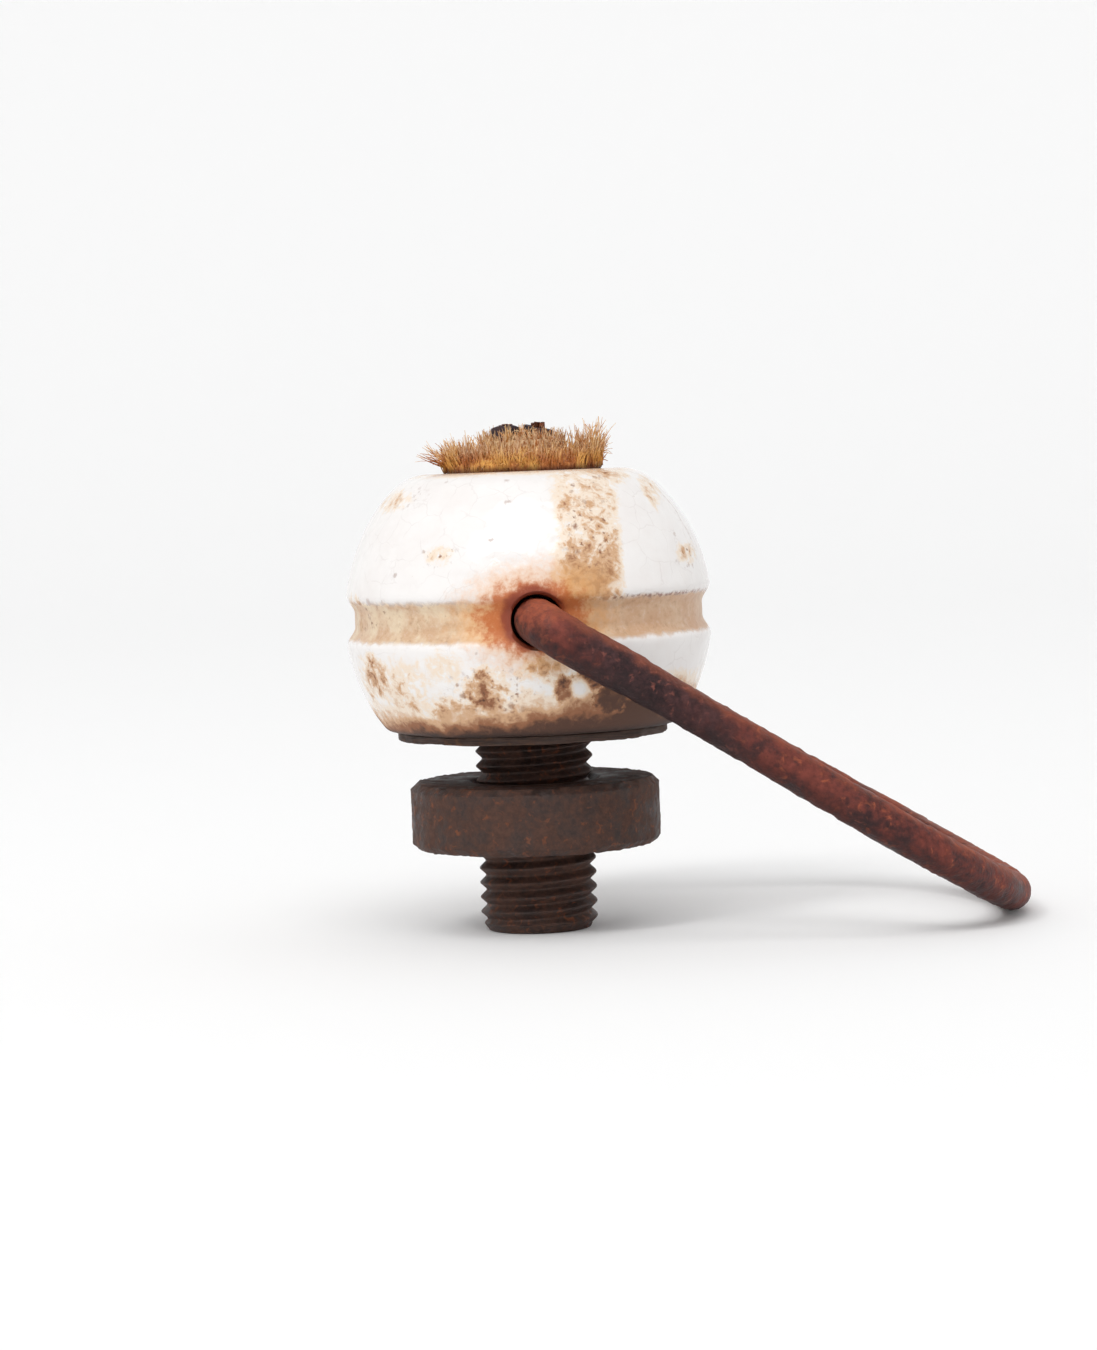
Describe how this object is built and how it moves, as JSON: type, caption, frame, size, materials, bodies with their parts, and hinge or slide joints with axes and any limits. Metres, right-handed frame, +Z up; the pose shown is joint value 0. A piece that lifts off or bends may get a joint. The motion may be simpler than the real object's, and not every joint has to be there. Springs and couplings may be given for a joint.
{
  "type": "porcelain ball insulator",
  "caption": "Small glazed porcelain ball insulator with a swinging rusty wire bail, a threaded tube through its middle and a frayed cable stub on top, for hanging a pendant lamp.",
  "frame": {"origin": "on the ball's axis, on the plane of the bracket seat: the underside of the washer below the ball", "axes": "+Z up along the ball's axis, from the seat to the cable mouth; +X the side to which the resting bail points; the bail's side holes lie along Y"},
  "size_m": [0.046, 0.0314, 0.0345],
  "materials": {
    "glazed_porcelain": "glossy white glaze, crazed, rust and dirt stained",
    "rusty_wire": "rusted drawn iron wire, dull and pitted",
    "oxidised_iron": "blackened iron with rust in the corners, dull",
    "vulcanised_fibre": "dark brown vulcanised fibre, dirty",
    "hemp_fibre": "loose golden brown plant fibre",
    "cotton_braid": "old braided cotton, frayed",
    "black_rubber": "perished black rubber",
    "copper": "tarnished copper"
  },
  "bodies": {
    "insulator": {"porcelain_body": "glazed_porcelain", "stem_tube": "oxidised_iron", "top_washer": "vulcanised_fibre", "top_nut": "oxidised_iron", "seat_washer": "vulcanised_fibre", "collar_nut": "oxidised_iron", "hemp_packing": "hemp_fibre", "cable_braid": "cotton_braid", "jute_filler": "hemp_fibre", "rubber_core_left": "black_rubber", "copper_wire_left": "copper", "rubber_core_right": "black_rubber", "copper_wire_right": "copper"},
    "bail": {"wire_bail": "rusty_wire"}
  },
  "joints": [
    {"name": "bail_swing", "type": "hinge", "parent": "insulator", "child": "bail", "pos_m": [0, 0, 0.0083], "axis": [0, -1, 0], "range_deg": [0, 244]}
  ]
}
